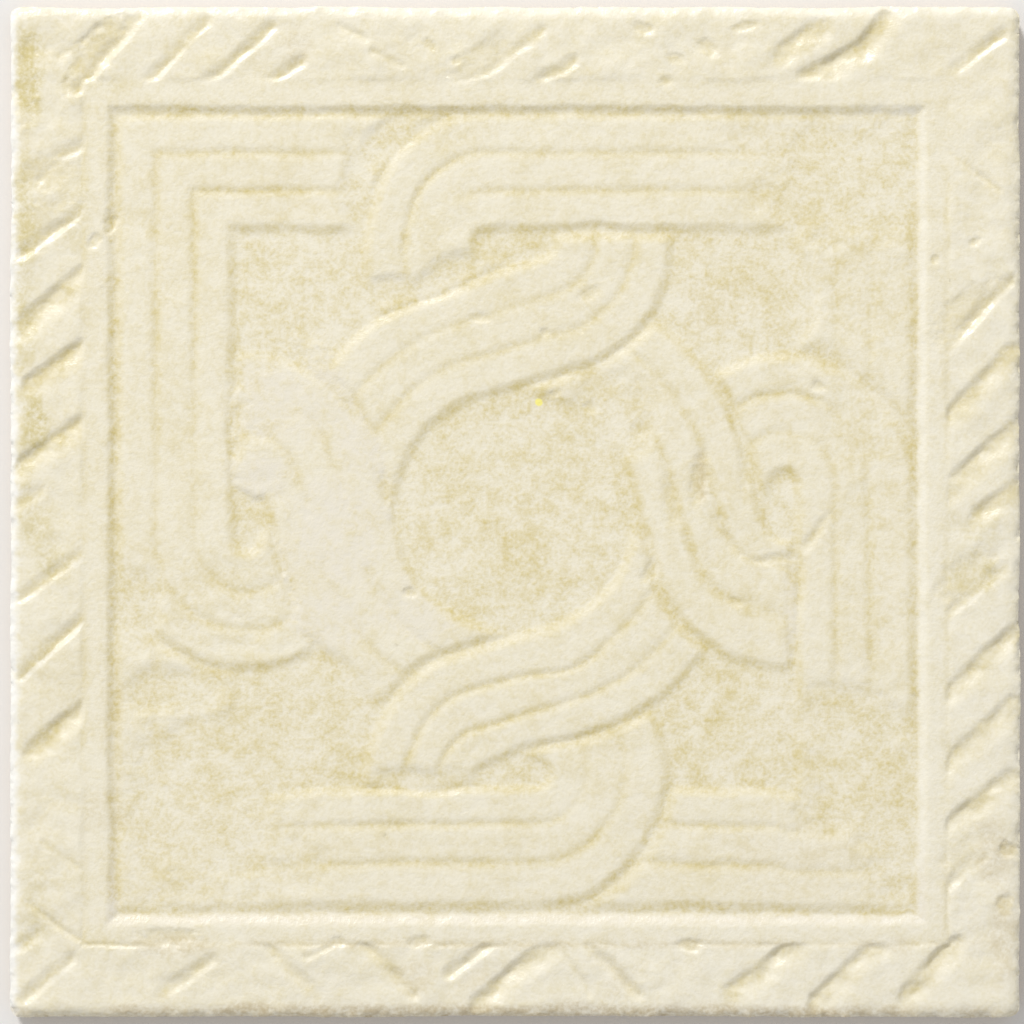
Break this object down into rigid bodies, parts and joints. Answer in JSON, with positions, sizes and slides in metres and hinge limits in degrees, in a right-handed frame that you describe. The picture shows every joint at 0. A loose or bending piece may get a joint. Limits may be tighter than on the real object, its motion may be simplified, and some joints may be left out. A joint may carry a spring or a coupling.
{
  "type": "decor tile",
  "caption": "Square ivory ceramic decor tile with a worn interlaced strand relief inside a raised frame and a slanted rope border.",
  "frame": {"origin": "middle of the tile's back, in the plane that it lies on", "axes": "+Z out of the decorated face, +Y towards the top of the pattern, +X to the right when looking down on the face"},
  "size_m": [0.2, 0.2, 0.009],
  "materials": {
    "ivory_glaze": "satin"
  },
  "bodies": {
    "root": {"decor_tile": "ivory_glaze"}
  },
  "joints": []
}
